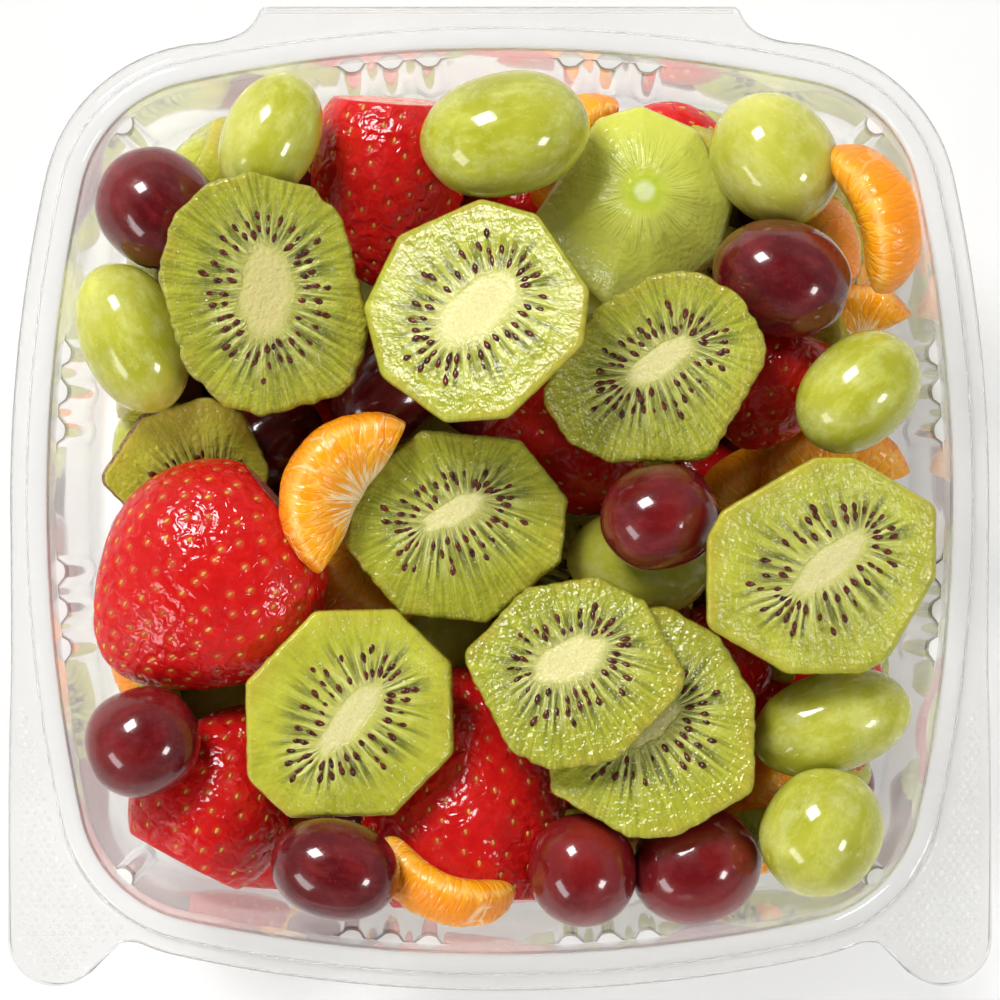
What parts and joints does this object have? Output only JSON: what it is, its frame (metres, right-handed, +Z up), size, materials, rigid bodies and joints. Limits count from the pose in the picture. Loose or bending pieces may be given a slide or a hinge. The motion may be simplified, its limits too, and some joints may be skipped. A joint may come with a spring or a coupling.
{
  "type": "fruit salad",
  "caption": "Fruit salad in a clear square tub: kiwi slices, whole grapes, strawberries and mandarin segments heaped up to the rim.",
  "frame": {"origin": "on the underside of the tub, under the middle of the overall box", "axes": "+Z up out of the tub, +Y towards the hinge flap, -Y towards the two thumb tabs, +X to the right seen from above"},
  "size_m": [0.1918, 0.1918, 0.0765],
  "materials": {
    "clear_plastic": "thin clear thermoformed plastic, glossy",
    "mixed_fruit": "wet cut fruit seen between the pieces",
    "green_grape": "taut glossy skin, a little bloom",
    "red_grape": "taut glossy skin, a little bloom",
    "kiwi": "wet cut flesh with seeds round a pale core",
    "strawberry": "wet dimpled skin with seeds",
    "mandarin": "thin wet membrane over juice cells"
  },
  "bodies": {
    "root": {"fruit_heap": "mixed_fruit", "grape_green_bottom_right": "green_grape", "grape_green_left": "green_grape", "grape_green_long": "green_grape", "grape_green_middle": "green_grape", "grape_green_peek": "green_grape", "grape_green_right": "green_grape", "grape_green_top": "green_grape", "grape_green_top_right": "green_grape", "grape_green_under": "green_grape", "grape_green_upper_left": "green_grape", "grape_red_between": "red_grape", "grape_red_bottom_left": "red_grape", "grape_red_bottom_middle": "red_grape", "grape_red_bottom_right": "red_grape", "grape_red_corner": "red_grape", "grape_red_hollow": "red_grape", "grape_red_left": "red_grape", "grape_red_middle": "red_grape", "grape_red_right": "red_grape", "kiwi_chunk": "kiwi", "kiwi_end": "kiwi", "kiwi_lower_left": "kiwi", "kiwi_lower_top": "kiwi", "kiwi_lower_under": "kiwi", "kiwi_middle": "kiwi", "kiwi_right": "kiwi", "kiwi_upper_left": "kiwi", "kiwi_upper_middle": "kiwi", "kiwi_upper_right": "kiwi", "mandarin_bottom": "mandarin", "mandarin_bottom_low": "mandarin", "mandarin_bottom_right": "mandarin", "mandarin_centre_low": "mandarin", "mandarin_left_low": "mandarin", "mandarin_lower_right": "mandarin", "mandarin_middle": "mandarin", "mandarin_right_low": "mandarin", "mandarin_right_upper": "mandarin", "mandarin_top_low": "mandarin", "mandarin_top_right": "mandarin", "mandarin_top_right_low": "mandarin", "mandarin_under_kiwi": "mandarin", "mandarin_under_left": "mandarin", "strawberry_bottom": "strawberry", "strawberry_bottom_left": "strawberry", "strawberry_left": "strawberry", "strawberry_low_right": "strawberry", "strawberry_middle": "strawberry", "strawberry_right": "strawberry", "strawberry_top": "strawberry", "strawberry_top_right": "strawberry", "tub": "clear_plastic"}
  },
  "joints": []
}
